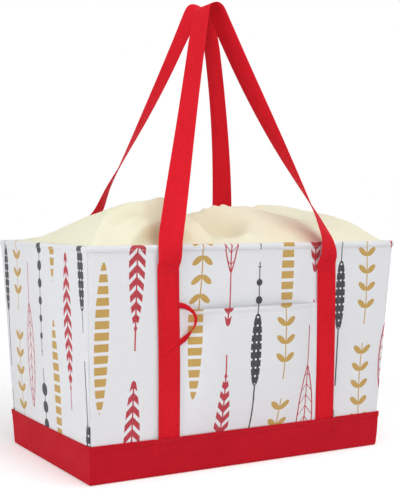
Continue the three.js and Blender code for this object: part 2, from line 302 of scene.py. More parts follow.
def stitches(name, rows, material):
    """Thread dashes along rows. A row is its points and the directions out of the cloth there."""
    angle = 2 * math.pi * np.arange(STITCH_SIDES) / STITCH_SIDES
    length = STITCH_ENDS * STITCH_LENGTH / 2
    width = STITCH_SWELL * np.cos(angle) * STITCH_WIDTH / 2
    height = STITCH_SWELL * np.sin(angle) * STITCH_HEIGHT / 2 + STITCH_LIFT - STITCH_SINK * STITCH_ENDS**2
    dashes = []
    for line, outward in rows:
        run = distances(line)
        count = int(run[-1] // (STITCH_LENGTH + STITCH_GAP))
        middles = (np.arange(count) + 0.5) * run[-1] / count
        fore = at_distance(middles + STITCH_REACH, run, line)
        tangent = unit(fore - at_distance(middles - STITCH_REACH, run, line))
        out = at_distance(middles, run, outward)
        out = unit(out - tangent * np.sum(out * tangent, axis=1, keepdims=True))
        parts = ((tangent, length), (np.cross(tangent, out), width), (out, height))
        dash = at_distance(middles, run, line)[:, None, None]
        for direction, amount in parts:
            dash = dash + direction[:, None, None] * amount[..., None]
        dashes.append(dash)
    dashes = np.concatenate(dashes)
    count, rings, around = dashes.shape[:3]
    faces = []
    for start in range(0, count * rings * around, rings * around):
        faces += tube_faces(rings, around, start)
    make_piece(name, dashes, faces, material, sharp=80)


def wall_row(side, s, z, out):
    """A row for stitches() on a wall, with the wall's own outward direction."""
    s, z, out = together(s, z, out)
    here = wall(side, s, z, out)
    return here, wall(side, s, z, out + 1.0) - here


# Materials

class Nodes:
    """A node tree with small helpers that add nodes to it."""

    def __init__(self, tree):
        self.tree = tree

    def put(self, socket, value):
        if isinstance(value, bpy.types.NodeSocket):
            self.tree.links.new(value, socket)
        else:
            socket.default_value = value

    def add(self, kind, *values):
        """A new node, with its first inputs set or linked."""
        node = self.tree.nodes.new(kind)
        for socket, value in zip(node.inputs, values):
            self.put(socket, value)
        return node

    def math(self, operation, *values):
        node = self.add("ShaderNodeMath", *values)
        node.operation = operation
        return node.outputs[0]

    def ramp(self, value, low, high, start, end):
        """A value from low to high, mapped to start to end and held there."""
        return self.add("ShaderNodeMapRange", value, low, high, start, end).outputs[0]

    def shown(self):
        """One for rays that show the backdrop itself, and none for those that its light is taken from."""
        paths = self.add("ShaderNodeLightPath").outputs
        seen = self.math("MAXIMUM", paths["Is Camera Ray"], paths["Is Glossy Ray"])
        return self.math("MAXIMUM", seen, paths["Is Transmission Ray"])


class Shade(Nodes):
    """A Principled material with helpers for its colour, gloss and fine relief."""

    def __init__(self, name, roughness, metallic=0.0, sheen=0.0, specular=0.2):
        self.material = bpy.data.materials.new(name)
        self.material.use_nodes = True
        super().__init__(self.material.node_tree)
        self.surface = self.tree.nodes["Principled BSDF"].inputs
        self.put(self.surface["Roughness"], roughness)
        self.put(self.surface["Metallic"], metallic)
        self.put(self.surface["Specular IOR Level"], specular)
        self.put(self.surface["Sheen Weight"], sheen)
        self.put(self.surface["Sheen Roughness"], 0.5)
        self.relief = None

    def cloth(self):
        """Distances over the cloth in millimetres, from its own flat map."""
        node = self.add("ShaderNodeUVMap")
        node.uv_map = "cloth"
        split = self.add("ShaderNodeSeparateXYZ", node.outputs[0])
        return [self.math("MULTIPLY", split.outputs[i], 1000.0) for i in (0, 1)]

    def place(self):
        return self.add("ShaderNodeTexCoord").outputs["Object"]

    def noise(self, scale, detail=2.0):
        node = self.add("ShaderNodeTexNoise", self.place())
        self.put(node.inputs["Scale"], scale)
        self.put(node.inputs["Detail"], detail)
        return node.outputs["Fac"]

    def blend(self, share, first, second):
        node = self.add("ShaderNodeMix", share)
        node.data_type = "RGBA"
        self.put(node.inputs[6], first)
        self.put(node.inputs[7], second)
        return node.outputs[2]

    def colour(self, value):
        self.put(self.surface["Base Color"], value)

    def rough(self, scale, low, high):
        """Gloss that varies over the surface between two roughnesses."""
        self.put(self.surface["Roughness"], self.ramp(self.noise(scale, 3.0), 0.3, 0.7, low, high))

    def raise_by(self, height, distance, strength):
        """Adds a layer of fine relief, distance in metres."""
        node = self.add("ShaderNodeBump")
        self.put(node.inputs["Strength"], strength)
        self.put(node.inputs["Distance"], distance)
        self.put(node.inputs["Height"], height)
        if self.relief is not None:
            self.put(node.inputs["Normal"], self.relief)
        self.relief = node.outputs[0]
        self.put(self.surface["Normal"], self.relief)

    def weave(self, pitch, distance, strength=0.6, ribs=False):
        """Threads crossing at a pitch in millimetres, or ribs across the length."""
        rate = 2 * math.pi / pitch
        across, along = (self.math("SINE", self.math("MULTIPLY", run, rate)) for run in self.cloth())
        if ribs:
            height = self.math("ADD", along, self.math("MULTIPLY", across, 0.3))
        else:
            height = self.math("MULTIPLY", across, along)
        self.raise_by(height, distance, strength)


def linear(red, green, blue):
    """A colour given as on a screen, 0 to 255, in the shader's own scale."""
    def one(value):
        value /= 255
        return value / 12.92 if value <= 0.04045 else ((value + 0.055) / 1.055) ** 2.4
    return (one(red), one(green), one(blue), 1.0)


def tinted(shade, base, dark, scale=14.0, fine=260.0):
    """A base colour with broad and fine unevenness."""
    broad = shade.noise(scale, 3.0)
    grain = shade.noise(fine, 2.0)
    share = shade.math("MULTIPLY", shade.math("ADD", broad, grain), 0.5)
    return shade.blend(shade.ramp(share, 0.35, 0.65, 0.0, 1.0), dark, base)


CHARCOAL = linear(58, 57, 60)
RED_INK = linear(190, 48, 62)
GOLD_INK = linear(203, 164, 84)
WHITE = linear(240, 241, 244)
WHITE_SHADE = linear(236, 237, 241)
RED = linear(208, 30, 46)
RED_SHADE = linear(198, 26, 42)
WEB = linear(233, 34, 49)
WEB_SHADE = linear(221, 28, 42)
TAPE = linear(220, 30, 44)
TAPE_SHADE = linear(206, 24, 38)
CREAM = linear(252, 250, 225)
CREAM_SHADE = linear(249, 246, 217)
# Painted shade: the tan that the cover's colour turns to in its hollows and beside its folds.
PAINTED_SHADE_TAN = linear(204, 184, 134)


def leaf_half(shade, y, low, high, wide, power):
    """Half the width of a leaf shape that runs from low to high."""
    share = shade.ramp(y, low, high, 0.0, math.pi)
    return shade.math("MULTIPLY", shade.math("POWER", shade.math("SINE", share), power), wide)


def printed_cloth():
    """White cloth with upright plant motifs in three inks, slightly worn."""
    PITCH, PERIOD = 44.0, 232.0
    shade = Shade("printed_cloth", 0.62, sheen=0.05)
    m = shade.math
    s, t = shade.cloth()
    column = m("FLOOR", m("DIVIDE", s, PITCH))
    x = m("SUBTRACT", s, m("MULTIPLY", m("ADD", column, 0.5), PITCH))
    shift = m("MULTIPLY", m("FRACT", m("MULTIPLY", column, 0.618)), PERIOD)
    y = m("FLOORED_MODULO", m("ADD", t, shift), PERIOD)
    # Two columns stand upright, and the next two hang.
    turn = m("GREATER_THAN", m("FLOORED_MODULO", column, 4.0), 1.5)
    y = m("ADD", m("MULTIPLY", y, m("SUBTRACT", 1.0, turn)), m("MULTIPLY", m("SUBTRACT", PERIOD, y), turn))
    kind = m("FLOORED_MODULO", column, 6.0)
    side = m("ABSOLUTE", x)

    def join(operation, masks):
        result = masks[0]
        for mask in masks[1:]:
            result = m(operation, result, mask)
        return result

    def both(*masks):
        return join("MULTIPLY", masks)

    def either(*masks):
        return join("MAXIMUM", masks)

    def under(a, b):
        return m("LESS_THAN", a, b)

    def between(low, high):
        """The stretch of a column between two heights."""
        return both(m("GREATER_THAN", y, low), under(y, high))

    def disc(dx, dy, radius):
        return under(m("ADD", m("MULTIPLY", dx, dx), m("MULTIPLY", dy, dy)), m("MULTIPLY", radius, radius))

    def bars(value, pitch, filled):
        return under(m("FLOORED_MODULO", value, pitch), filled)

    def stem(low, high, half):
        """An upright stroke, from its ends and half its width."""
        return both(between(low, high), under(side, half))

    def leaf(low, high, wide, power):
        return stem(low, high, leaf_half(shade, y, low, high, wide, power))

    dot_side = m("SUBTRACT", m("FLOORED_MODULO", m("ADD", x, 3.3), 6.6), 3.3)
    dots = disc(dot_side, m("SUBTRACT", m("FLOORED_MODULO", y, 11.0), 5.5), 1.5)
    reed = either(
        both(leaf(92.0, 186.0, 8.0, 0.35), m("SUBTRACT", 1.0, dots)),
        stem(14.0, 94.0, 1.1),
        stem(184.0, 212.0, 0.8),
    )

    sway = m("MULTIPLY", m("SINE", m("DIVIDE", y, 34.0)), 2.4)
    stem_side = m("ABSOLUTE", m("SUBTRACT", x, sway))
    step = m("SUBTRACT", m("FLOORED_MODULO", y, 24.0), 13.0)
    reach = m("SUBTRACT", stem_side, 7.4)
    along = m("ADD", m("MULTIPLY", reach, 0.78), m("MULTIPLY", step, 0.62))
    over = m("SUBTRACT", m("MULTIPLY", step, 0.78), m("MULTIPLY", reach, 0.62))
    blade = disc(m("DIVIDE", along, 8.6), m("DIVIDE", over, 3.9), 1.0)
    sprig = either(
        both(between(24.0, 214.0), blade),
        both(between(8.0, 214.0), under(stem_side, 0.9)),
    )

    leaf_edge = leaf_half(shade, y, 66.0, 208.0, 12.5, 0.8)
    outline = under(m("ABSOLUTE", m("SUBTRACT", side, leaf_edge)), 1.0)
    veins = both(under(side, leaf_edge), bars(m("SUBTRACT", y, m("MULTIPLY", side, 1.1)), 15.0, 1.6))
    veined = either(both(between(66.0, 208.0), either(outline, veins)), stem(12.0, 196.0, 0.9))

    bead_step = m("SUBTRACT", m("FLOORED_MODULO", y, 23.0), 11.5)
    bead_size = shade.ramp(y, 20.0, 215.0, 9.0, 4.0)
    beads = either(both(between(20.0, 216.0), disc(x, bead_step, bead_size)), stem(6.0, 222.0, 0.8))
    pods = both(leaf(22.0, 206.0, 9.5, 0.5), bars(y, 14.0, 9.6))
    barbs = bars(m("ADD", y, side), 15.0, 9.0)
    plumes = either(both(leaf(30.0, 210.0, 11.0, 0.7), barbs), stem(8.0, 200.0, 1.0))

    def only(number, mask):
        return both(m("COMPARE", kind, float(number), 0.25), mask)

    worn = shade.ramp(shade.noise(900.0, 2.0), 0.3, 0.55, 0.86, 1.0)
    cloth = tinted(shade, WHITE, WHITE_SHADE, 9.0)
    inks = [
        (CHARCOAL, either(only(0, reed), only(3, beads))),
        (GOLD_INK, either(only(1, sprig), only(4, pods))),
        (RED_INK, either(only(2, veined), only(5, plumes))),
    ]
    for ink, mask in inks:
        cloth = shade.blend(both(mask, worn), cloth, ink)
    shade.colour(cloth)
    shade.rough(40.0, 0.55, 0.7)
    shade.raise_by(shade.noise(18.0, 2.0), 0.0016, 0.2)
    shade.weave(0.9, 0.00008, 0.25)
    return shade.material


def plain_cloth(name, base, dark, pitch, depth, rough, ribs=False, crease=0.0012):
    shade = Shade(name, rough, specular=0.05)
    shade.colour(tinted(shade, base, dark))
    shade.rough(60.0, rough - 0.06, rough + 0.06)
    if crease:
        shade.raise_by(shade.noise(34.0, 3.0), crease, 0.3)
    shade.weave(pitch, depth, ribs=ribs)
    return shade.material


def cover_cloth():
    """Thin cream cloth, with painted shade in tan in its hollows and along the steep sides of its folds."""
    shade = Shade("cover_cloth", 0.6, sheen=0.08, specular=0.05)
    painted_shade = shade.add("ShaderNodeAttribute")
    painted_shade.attribute_name = "painted_shade"
    # Painted shade: the cloth turns to tan as far as the attribute says.
    shade.colour(shade.blend(painted_shade.outputs["Fac"], tinted(shade, CREAM, CREAM_SHADE), PAINTED_SHADE_TAN))
    shade.rough(60.0, 0.54, 0.66)
    shade.raise_by(shade.noise(34.0, 3.0), 0.0012, 0.3)
    shade.weave(0.5, 0.00004)
    return shade.material


def foil():
    shade = Shade("foil_lining", 0.4, metallic=0.35)
    shade.colour(tinted(shade, linear(216, 219, 223), linear(199, 202, 207), 30.0))
    shade.rough(50.0, 0.3, 0.5)
    shade.raise_by(shade.noise(60.0, 4.0), 0.0024, 0.5)
    return shade.material


def board_sheet():
    """Fluted plastic board."""
    shade = Shade("base_board", 0.55)
    across, _ = shade.cloth()
    shade.colour(tinted(shade, linear(120, 123, 127), linear(104, 107, 112), 20.0))
    flutes = shade.math("SINE", shade.math("MULTIPLY", across, 2 * math.pi / 4.0))
    shade.raise_by(flutes, 0.0003, 0.6)
    shade.raise_by(shade.noise(180.0, 3.0), 0.0003, 0.4)
    return shade.material


def thread(name, base, dark):
    shade = Shade(name, 0.6, sheen=0.2)
    shade.colour(tinted(shade, base, dark, 300.0, 1500.0))
    shade.raise_by(shade.noise(2600.0, 1.0), 0.0001, 0.6)
    return shade.material


PRINT = printed_cloth()
BAND_RED = plain_cloth("red_cloth", RED, RED_SHADE, 0.9, 0.00012, 0.62)
WEB_RED = plain_cloth("red_webbing", WEB, WEB_SHADE, 1.3, 0.0002, 0.58, ribs=True, crease=0)
TAPE_RED = plain_cloth("red_ribbon", TAPE, TAPE_SHADE, 0.8, 0.0001, 0.5, ribs=True, crease=0)
COVER = cover_cloth()
FOAM = plain_cloth("foam", linear(244, 244, 241), linear(233, 233, 230), 1.6, 0.0003, 0.85)
FOIL = foil()
BOARD = board_sheet()
WHITE_THREAD = thread("white_thread", linear(226, 226, 228), linear(210, 210, 214))
RED_THREAD = thread("red_thread", linear(196, 24, 38), linear(172, 18, 30))

# Printed walls, hems, band and inner layers

# The hem's middle line: how far out from the printed face, and the height.
HEM_PATH = np.array([
    (0.72, 283.0), (0.62, 284.2), (0.66, 285.4), (0.76, 286.8), (0.6, 288.2), (-0.3, 289.3),
    (-1.6, 289.8), (-2.8, 289.9), (-4.0, 289.8), (-5.3, 289.3), (-6.1, 288.2), (-6.2, 286.8),
    (-6.2, 285.2), (-6.2, 283.4),
])
HEM_CLOTH = 0.8


def along_share(side, u, z):
    """Length along a wall for u from 0 to 1, from corner to corner."""
    return mix(-1, 1, u) * wall_reach(side, z)


def corner_seam(side, s, z, width):
    """One at the corner seams of a wall, fading over a width."""
    return bell(wall_reach(side, z) - np.abs(s), width)


def corner_fill(side, s, z):
    """How far the outer cloth stands off its rounded corner, towards a sharp one."""
    return CORNER_FILL * corner_radius(z) * (1 / np.cos(corner_angle(side, s, z)) - 1)


END_CROWDING = 0.9
PRINT_SHIFT = {"front": 1992.0, "right": 3315.0, "back": 4620.0, "left": 5961.0}


def crowded(u):
    """Shares from 0 to 1, drawn closer together at both ends."""
    return mix(u, (1 - np.cos(math.pi * u)) / 2, END_CROWDING)


# A layer: how far out its outer face lies, its thickness, and its lower and upper edge.
PANEL_LAYER = (0.0, 0.9, 4.0, 287.6)
FOAM_LAYER = (-1.5, 2.8, 1.6, 287.2)
LINING_LAYER = (-4.6, 0.5, 4.8, 287.0)
BAND_LAYER = (1.3, 1.0, 0.4, BAND_TOP)


def wall_layer(name, side, layer, material, us, vs, relief=None):
    outer, thick, low, high = layer
    def place(u, v, w):
        z = mix(low, high, v)
        s = along_share(side, crowded(u), z)
        out = outer - (1 - w) * thick
        if relief is not None:
            out = out + relief(side, s, z)
        return wall(side, s, z, out)

    def uv(u, v):
        z = mix(low, high, v)
        return along_share(side, crowded(u), z) + PRINT_SHIFT[side], z

    return slab(name, place, us, vs, material, uv)


def panel_relief(side, s, z):
    """Puckers along the corner seams, and the slit of the seam itself."""
    pucker = 0.21 * np.sin(z * 2 * math.pi / 17 + 0.5 * np.sin(z / 23))
    slit = 2.6 * corner_seam(side, s, z, 0.5)
    return corner_fill(side, s, z) - slit + pucker * corner_seam(side, s, z, 9.0)


def strap_cover(side, s):
    """How far the band stands off over the straps and, on the front, over the pocket."""
    lift = np.zeros_like(s)
    strap = 3.1 if side == "front" else 2.0
    if side in LONG_SIDES:
        for x in (-STRAP_X, STRAP_X):
            x = x + strap_shift(side, BAND_TOP)
            lift = np.maximum(lift, strap * (1 - smooth(15.5, 22.0, np.abs(s - x))))
    if side == "front":
        lift = np.maximum(lift, 1.1 * (1 - smooth(116.0, 124.0, np.abs(s))))
    return lift


BAND_SEAM = BAND_TOP - 3.4
BAND_FOLD = BAND_TOP - 7.5


def band_relief(side, s, z):
    lift = strap_cover(side, s) * smooth(16.0, 36.0, z)
    lip = 0.7 * smooth(BAND_FOLD, BAND_FOLD + 1, z) * (1 - 0.8 * smooth(BAND_TOP - 0.8, BAND_TOP + 0.2, z))
    groove = -0.35 * bell(z - BAND_SEAM, 0.9)
    roll = -1.2 * (1 - np.clip(z / 5.0, 0, 1)) ** 2
    ridge = corner_fill(side, s, z) + 0.7 * corner_seam(side, s, z, 0.9)
    wave = 0.35 * ripple(s, z, 40 + TURN[side], 60) * smooth(4, 16, z)
    return lift + lip + groove + roll + ridge + np.maximum(wave, -0.2)


def foil_relief(side, s, z):
    return -0.5 - 0.45 * ripple(s, z, 60 + TURN[side], 34, 11)


CELLS = {"front": 121, "right": 85, "back": 121, "left": 85}


def add_layers(side):
    """The four layers of one wall."""
    cells = CELLS[side]
    panel = wall_layer(f"{side}_panel_cloth", side, PANEL_LAYER, PRINT, cells, 61, panel_relief)
    stand_for(panel, "printed_cloth", f"{side}_panel")

    foam = wall_layer(f"{side}_foam_sheet", side, FOAM_LAYER, FOAM, cells // 2, 31)
    stand_for(foam, "foam", f"{side}_foam")

    lining = wall_layer(f"{side}_lining_sheet", side, LINING_LAYER, FOIL, cells, 61, foil_relief)
    stand_for(lining, "foil", f"{side}_lining")

    band = wall_layer(f"{side}_band_cloth", side, BAND_LAYER, BAND_RED, 2 * cells, 47, band_relief)
    stand_for(band, "red_cloth", f"{side}_band")


def hem_sag(side, s):
    return 0.35 * ripple(s, s * 0, 80 + TURN[side], 90)


def add_hem(side):
    """A folded strip: its middle line, thickened, and swept along the rim."""
    tangent = unit(np.gradient(HEM_PATH, axis=0))
    normal = np.column_stack([tangent[:, 1], -tangent[:, 0]]) * HEM_CLOTH / 2
    across, up = np.concatenate([HEM_PATH + normal, (HEM_PATH - normal)[::-1]]).T[:, None, :]
    run = distances(HEM_PATH)
    run = np.concatenate([run, run[::-1]]) + HEM_PATH[0, 1]
    level = np.minimum(up, HEIGHT)
    stations = np.linspace(0, 1, 2 * CELLS[side])
    s = along_share(side, stations[:, None], level)
    pull = 0.14 * np.sin(s * 2 * math.pi / 7.2) * bell(up - 285.0, 2.5)
    outer_share = np.interp(across, (HEM_PATH[:, 0].min(), 0), (0, 1))
    out = across + pull * (across > 0) + corner_fill(side, s, level) * outer_share
    rings = wall(side, s, up + hem_sag(side, s), out)
    hem = sweep(f"{side}_hem_strip", rings, PRINT, flat_map(s + PRINT_SHIFT[side], run))
    stand_for(hem, "printed_cloth", f"{side}_hem")


# Height of the hem's outer thread row, and how far the rows stop short of the corners.
HEM_THREAD, THREAD_SHORT = 284.6, 1.5


def add_wall_threads(side):
    """Thread rows along the hem, outside and inside, and along the top of the band."""
    line = np.linspace(-1, 1, 300)
    s = line * (wall_reach(side, HEM_THREAD) - THREAD_SHORT)
    outside = wall_row(side, s, HEM_THREAD + hem_sag(side, s), 1.08 + corner_fill(side, s, HEM_THREAD))
    rows = [outside, wall_row(side, s, 285.0, -6.75)]
    stitches(f"{side}_hem_stitches", rows, WHITE_THREAD)
    s = line * (wall_reach(side, BAND_SEAM) - THREAD_SHORT)
    out = 1.35 + band_relief(side, s, np.full_like(s, BAND_SEAM))
    stitches(f"{side}_band_stitches", [wall_row(side, s, BAND_SEAM, out)], RED_THREAD)


for side in TURN:
    add_layers(side)
    add_hem(side)
    add_wall_threads(side)

# Floor of the bag

# A plate: its half sizes with the corner radius, and its lower and upper level.
base = plate("base_cloth_sheet", (217.6, 130.6, 2.5), (0.0, 0.9), BAND_RED, rings=12)
stand_for(base, "red_cloth", "base_cloth")

floor_foam = plate("floor_foam_sheet", (214.0, 127.0, 4.0), (1.3, 4.2), FOAM)
stand_for(floor_foam, "foam", "floor_foam")

floor_lining = plate("floor_lining_sheet", (213.4, 126.6, 3.0), (4.5, 5.1), FOIL)
stand_for(floor_lining, "foil", "floor_lining")

board = plate("base_board_sheet", (211.6, 124.6, 9.0), (5.5, 8.0), BOARD, body="base_board")
stand_for(board, "board", "base_board")
edge = board.modifiers.new("edge", "BEVEL")
edge.width = 0.0005
edge.segments = 2

# Pocket on the front

POCKET_LOW = 38.0
POCKET_HALF = 115.0
POCKET_SLACK = 8.0
POCKET_OPEN = STRAP_X - WEBBING_WIDTH / 2 - STRAP_LEAN
POCKET_CLOTH, POCKET_SEAM = 0.8, 203.9


def pocket_slack(s, z):
    share = np.clip((z - BAND_TOP) / (POCKET_TOP - BAND_TOP), 0, 1)
    across = np.maximum(0, 1 - (s / POCKET_OPEN) ** 4)
    return POCKET_SLACK * across * (1 - (1 - share) ** 6)


def pocket_free(s):
    """One where the pocket hangs free, and none under the straps."""
    return np.maximum(0, 1 - (s / POCKET_OPEN) ** 8)


def pocket_back(s, z):
    """How far out from the wall the back of the pocket's cloth lies."""
    wave = 0.5 * ripple(s, z, 90, 70) * pocket_free(s) * smooth(60, 100, z)
    return 0.3 + pocket_slack(s, z) + wave


def pocket_at(u, v):
    return mix(-POCKET_HALF, POCKET_HALF, u), mix(POCKET_LOW, POCKET_TOP, v)


def pocket_place(u, v, w):
    s, z = pocket_at(u, v)
    hem = 0.9 * smooth(202.6, 203.6, z)
    groove = 0.3 * bell(z - POCKET_SEAM, 0.8)
    thick = POCKET_CLOTH + (hem - groove) * pocket_free(s)
    return wall("front", s, z, pocket_back(s, z) + w * thick)


def pocket_map(u, v):
    s, z = pocket_at(u, v)
    return s + 2131.0, z + 64.0


pocket = slab("front_pocket_cloth", pocket_place, 101, 81, PRINT, pocket_map)
stand_for(pocket, "printed_cloth", "front_pocket")
line = np.linspace(-POCKET_OPEN - 9, POCKET_OPEN + 5, 210)
rise = np.full_like(line, POCKET_SEAM)
out = pocket_back(line, rise) + POCKET_CLOTH + 0.3 * pocket_free(line) + 0.1
stitches("front_pocket_stitches", [wall_row("front", line, rise, out)], WHITE_THREAD)

# Webbing: each handle is one length of webbing, from the band up, over the top and down again

HANDLE_TOP = {"front": 619.0, "back": 623.0}
# At the top the outer edge of each handle stands higher than its inner edge: the slope and its height.
CREST_ROLL = {"front": 0.15, "back": 0.45}
CREST_ROLL_HEIGHT = 60.0
HANDLE_BEND = 13.0
HANDLE_SPLIT = 1.5
HANDLE_DROOP = 8.0
# How soon each leg turns edge on: its left leg, then its right leg, seen from its own side.
TWIST_EASE = {"front": {-1: 3.0, 1: 2.75}, "back": {-1: 3.0, 1: 2.15}}
HELD_YAW = {"front": 0.33, "back": 0.27}
LEAN = {"front": 13.0, "back": -19.0}
SAG = {"front": 0.0, "back": 38.0}
SAG_SHARE = 0.1
SLACK_LEGS = {"front": (1,), "back": (-1, 1)}
WEB_FOOT = 33.0
WEB_ON_HEM = 2.15
RIM_CLEAR = 6.0
SEAM_BULGE = 2.6
# Where the right leg is drawn sideways above the rim: how far, at what height and over what length.
RIM_PULL = {"front": (3.6, 297.0, 18.0), "back": (6.0, 328.0, 26.0)}


def web_middle(side, z):
    """How far out from the wall the middle of the webbing lies."""
    low = 2.15 if side == "front" else 1.05
    return mix(low, WEB_ON_HEM, smooth(SEWN_LINE, HEIGHT - 5, z))


def web_path(side):
    """Points along the webbing and the direction of its width, before turning to its side."""
    lean, sag = LEAN[side], SAG[side]
    crest = np.array([0, -(WEBBING_WIDTH + HANDLE_SPLIT) / 2, HANDLE_TOP[side] - WEBBING / 2])
    held = -math.pi / 2 + HELD_YAW[side]

    def twist(hand, z):
        share = np.clip((z - SEWN_LINE) / (crest[2] - SEWN_LINE), 0, 1)
        return 1 - (1 - share) ** TWIST_EASE[side][hand]

    def stand_off(hand, z):
        """The turned webbing keeps its inner edge off the wall."""
        turn = twist(hand, z) * (-held if hand < 0 else math.pi + held)
        bulge = SEAM_BULGE * smooth(SEWN_LINE, SEWN_LINE + 9, z) * (1 - smooth(HEIGHT - 12, HEIGHT, z))
        return web_middle(side, z) + WEBBING_WIDTH / 2 * math.sin(turn) + bulge

    def leg(hand, start):
        rim = wall_flat(side, hand * STRAP_X, HEIGHT, stand_off(hand, HEIGHT))
        rim = np.array([0, rim[1], HEIGHT + RIM_CLEAR])
        rise = np.linalg.norm(crest - rim)

        def in_plane(x, up):
            share = up / rise
            lain = sag * smooth(0, SAG_SHARE, share) * max(0, 1 - share)
            return mix(rim, crest, share) + np.array([x, lain, 0])

        foot_x = hand * STRAP_X + float(strap_shift(side, SEWN_LINE))
        run, middle = abs(lean - foot_x), rise - HANDLE_BEND
        tilt = math.atan2(run, middle) - math.asin(HANDLE_BEND / math.hypot(run, middle))
        points, angles = [], []
        for z in np.concatenate([np.arange(WEB_FOOT, HEIGHT - 2, 4.0), [HEIGHT + 1.5]]):
            x = hand * STRAP_X + strap_shift(side, z)
            points.append(wall_flat(side, x, min(z, HEIGHT), stand_off(hand, z)))
            points[-1][2] = z
            angles.append(mix(start, held, twist(hand, z)))
        end_x = lean + hand * HANDLE_BEND * math.cos(tilt)
        end_up = middle + HANDLE_BEND * math.sin(tilt)
        for share in np.linspace(0, 1, 73):
            droop = 4 * HANDLE_DROOP * share * (1 - share) if hand in SLACK_LEGS[side] else 0
            points.append(in_plane(mix(foot_x, end_x, share) - droop, end_up * share))
            angles.append(mix(start, held, twist(hand, points[-1][2])))
        for angle in np.linspace(tilt, math.pi / 2, 9)[1:-1]:
            x = lean + hand * HANDLE_BEND * math.cos(angle)
            points.append(in_plane(x, middle + HANDLE_BEND * math.sin(angle)))
            angles.append(held)
        return points, angles

    points, angles = leg(-1, 0.0)
    right_points, right_angles = leg(1, -math.pi)
    points = np.array(points + right_points[::-1])
    angles = np.array(angles + right_angles[::-1])
    pull, pull_at, pull_width = RIM_PULL[side]
    points[:, 0] -= pull * bell(points[:, 2] - pull_at, pull_width) * (points[:, 0] > 0)
    for _ in range(4):
        inner = (points[:-2] + points[2:]) / 2
        loose = smooth(SEWN_LINE + 8, HEIGHT + 8, points[1:-1, 2])[:, None]
        points[1:-1] = mix(points[1:-1], inner, 0.5 * loose)
    roll = CREST_ROLL[side] * smooth(crest[2] - CREST_ROLL_HEIGHT, crest[2], points[:, 2])
    return points, np.column_stack([np.cos(angles), np.sin(angles), roll])


def web_section(points, across, width, thick, cup):
    """Rings of a flat woven section along a path, with rounded selvages, and their flat map."""
    u = np.sin(np.linspace(-1, 1, 17) * math.pi / 2)
    half = thick / 2 * (1 - 0.75 * np.abs(u) ** 9 - 0.16 * bell(np.abs(u) - 0.8, 0.06))
    tangent = unit(np.gradient(points, axis=0))
    sideways = unit(across - tangent * np.sum(across * tangent, axis=1)[:, None])
    normal = np.cross(sideways, tangent)
    bend = cup[:, None] * (u**2 - 0.33)
    offset = np.concatenate([bend + half, (bend - half)[:, ::-1]], axis=1)
    place = np.concatenate([u, u[::-1]]) * width / 2
    rings = points[:, None] + sideways[:, None] * place[:, None] + normal[:, None] * offset[..., None]
    return rings[:, ::-1], flat_map(place, distances(points)[:, None])[:, ::-1]


def add_webbing(side):
    points, across = web_path(side)
    free = smooth(300.0, 360.0, points[:, 2]) * (1 - smooth(560.0, 612.0, points[:, 2]))
    rings, uv = web_section(points, across, WEBBING_WIDTH, WEBBING, 0.9 * free)
    webbing = sweep(f"{side}_webbing", turned(side, rings), WEB_RED, uv, body=None)
    stand_for(webbing, "webbing", f"{side}_strap_left", f"{side}_strap_right", f"{side}_handle")
    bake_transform(webbing)


# How far the edge threads lie from the middle of a strap.
EDGE_THREAD = 12.2


def add_strap_threads(side):
    """Thread rows along both edges of each leg and across it at the sewn line."""
    rows = []
    face = web_middle(side, STRAP_FOOT) + WEBBING / 2 + 0.05
    for x in (-STRAP_X, STRAP_X):
        z = np.linspace(BAND_TOP + 3, SEWN_LINE - 5, 120)
        for edge in (-EDGE_THREAD, EDGE_THREAD):
            rows.append(wall_row(side, x + strap_shift(side, z) + edge, z, face))
        for level in (SEWN_LINE - 4.5, SEWN_LINE - 8.5):
            s = np.linspace(x - EDGE_THREAD, x + EDGE_THREAD, 20) + strap_shift(side, level)
            rows.append(wall_row(side, s, level, face))
    stitches(f"{side}_strap_stitches", rows, RED_THREAD)


for side in LONG_SIDES:
    add_webbing(side)
    add_strap_threads(side)

# Ribbon loop beside the front left strap

RIBBON_WIDTH, RIBBON = 7.0, 0.8
RIBBON_REACH, RIBBON_SPAN, RIBBON_RISE, RIBBON_TURN = 17.5, 44.0, 6.0, 1.35
RIBBON_SLANT, RIBBON_END = 1.35, 3.0
RIBBON_TUCK, TUCK_SLOPE = 9.0, 0.7

share = np.linspace(0, 1, 61)
out = np.sin(math.pi * share) ** 0.8
z = POCKET_TOP + RIBBON_RISE - RIBBON_SPAN * share**RIBBON_SLANT
edge = strap_shift("front", z) + WEBBING_WIDTH / 2 - STRAP_X
s = edge + RIBBON / 2 + RIBBON_REACH * out + RIBBON_END * share
turn = np.sin(math.pi * share) * RIBBON_TURN
stand = pocket_slack(s, z + RIBBON_WIDTH / 2) + (RIBBON_WIDTH / 2 + 0.3) * np.sin(turn)
tuck = np.linspace(1, 0, 9)[:-1]
s = np.concatenate([s[0] - RIBBON_TUCK * tuck, s, s[-1] - RIBBON_TUCK * tuck[::-1]])
z = np.concatenate([z[0] + 0 * tuck, z, z[-1] - RIBBON_TUCK * tuck[::-1] * TUCK_SLOPE])
turn = np.pad(turn, len(tuck))
stand = np.pad(stand, len(tuck))
points = wall_flat("front", s, z, 1.4 + RIBBON + stand)
across = np.column_stack([0 * turn, -np.sin(turn), np.cos(turn)])
rings, uv = web_section(points, across, RIBBON_WIDTH, RIBBON, 0.25 * np.sin(turn))
ribbon = sweep("ribbon_loop_tape", rings, TAPE_RED, uv, body=None)
stand_for(ribbon, "ribbon", "ribbon_loop")
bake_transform(ribbon)

# The ribbon's lower end shows through the strap as a slanting crease.
CREASE_FROM, CREASE_TO = (-106.5, 171.5), (-131.0, 153.5)
CREASE_WIDTH, CREASE_RISE = 2.6, 2.1

